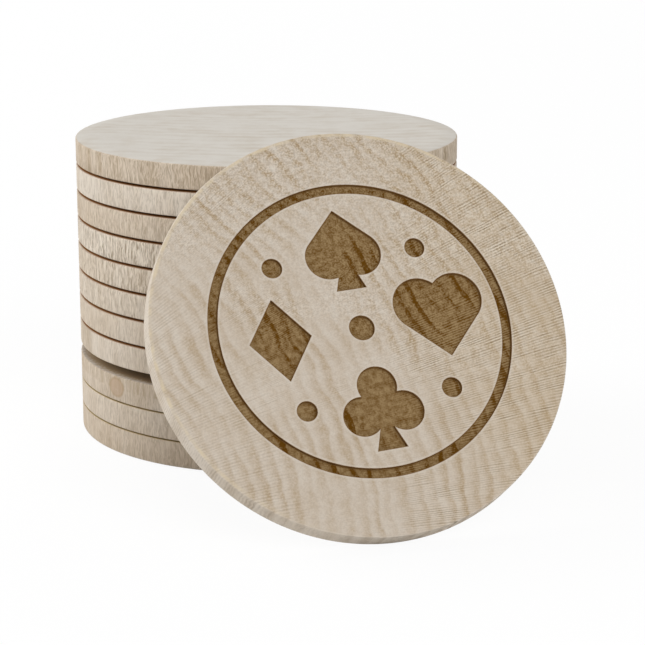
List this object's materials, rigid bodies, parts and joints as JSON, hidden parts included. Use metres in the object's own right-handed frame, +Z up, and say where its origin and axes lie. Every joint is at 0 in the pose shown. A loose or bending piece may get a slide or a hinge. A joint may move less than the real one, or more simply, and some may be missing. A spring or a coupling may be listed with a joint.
{
  "type": "game token set",
  "caption": "Stack of plain round wooden game tokens, one of them slightly cupped, with an engraved token of the same size standing on its rim in front and leaning back on the stack.",
  "frame": {"origin": "centre of the bottom token's underside, on the surface that the set stands on", "axes": "+Z up along the stack; the engraved token stands towards -Y and faces -Y, turned a little towards +X; +X to its viewer's right"},
  "size_m": [0.0483, 0.0631, 0.0342],
  "materials": {
    "plain_pale": "fine sanded, untreated",
    "plain_warm": "fine sanded, untreated",
    "engraved_wood": "fine sanded, untreated, with burnt-brown engraving"
  },
  "bodies": {
    "stack_token_01": {"stack_token_01": "plain_warm"},
    "stack_token_02": {"stack_token_02": "plain_pale"},
    "stack_token_03": {"stack_token_03": "plain_warm"},
    "stack_token_04": {"stack_token_04": "plain_pale"},
    "stack_token_05": {"stack_token_05": "plain_warm"},
    "stack_token_06": {"stack_token_06": "plain_pale"},
    "stack_token_07": {"stack_token_07": "plain_pale"},
    "stack_token_08": {"stack_token_08": "plain_warm"},
    "stack_token_09": {"stack_token_09": "plain_warm"},
    "stack_token_10": {"stack_token_10": "plain_pale"},
    "stack_token_11": {"stack_token_11": "plain_pale"},
    "engraved_token": {"engraved_token": "engraved_wood"}
  },
  "joints": [
    {"name": "lift_02", "type": "slide", "parent": "stack_token_01", "child": "stack_token_02", "axis": [0, 0.7071, 0.7071], "range_m": [0, 0.012]},
    {"name": "lift_03", "type": "slide", "parent": "stack_token_02", "child": "stack_token_03", "axis": [0, 0.7071, 0.7071], "range_m": [0, 0.012]},
    {"name": "lift_04", "type": "slide", "parent": "stack_token_03", "child": "stack_token_04", "axis": [0, 0.7071, 0.7071], "range_m": [0, 0.012]},
    {"name": "lift_05", "type": "slide", "parent": "stack_token_04", "child": "stack_token_05", "axis": [0, 0.7071, 0.7071], "range_m": [0, 0.012]},
    {"name": "lift_06", "type": "slide", "parent": "stack_token_05", "child": "stack_token_06", "axis": [0, 0.7071, 0.7071], "range_m": [0, 0.012]},
    {"name": "lift_07", "type": "slide", "parent": "stack_token_06", "child": "stack_token_07", "axis": [0, 0.7071, 0.7071], "range_m": [0, 0.012]},
    {"name": "lift_08", "type": "slide", "parent": "stack_token_07", "child": "stack_token_08", "axis": [0, 0.7071, 0.7071], "range_m": [0, 0.012]},
    {"name": "lift_09", "type": "slide", "parent": "stack_token_08", "child": "stack_token_09", "axis": [0, 0.7071, 0.7071], "range_m": [0, 0.012]},
    {"name": "lift_10", "type": "slide", "parent": "stack_token_09", "child": "stack_token_10", "axis": [0, 0.7071, 0.7071], "range_m": [0, 0.012]},
    {"name": "lift_11", "type": "slide", "parent": "stack_token_10", "child": "stack_token_11", "axis": [0, 0.7071, 0.7071], "range_m": [0, 0.012]},
    {"name": "engraved_tip", "type": "hinge", "parent": "stack_token_01", "child": "engraved_token", "pos_m": [0.01094, -0.04016, 0.00015], "axis": [0.9703, 0.2419, 0], "range_deg": [0, 34.5]}
  ]
}
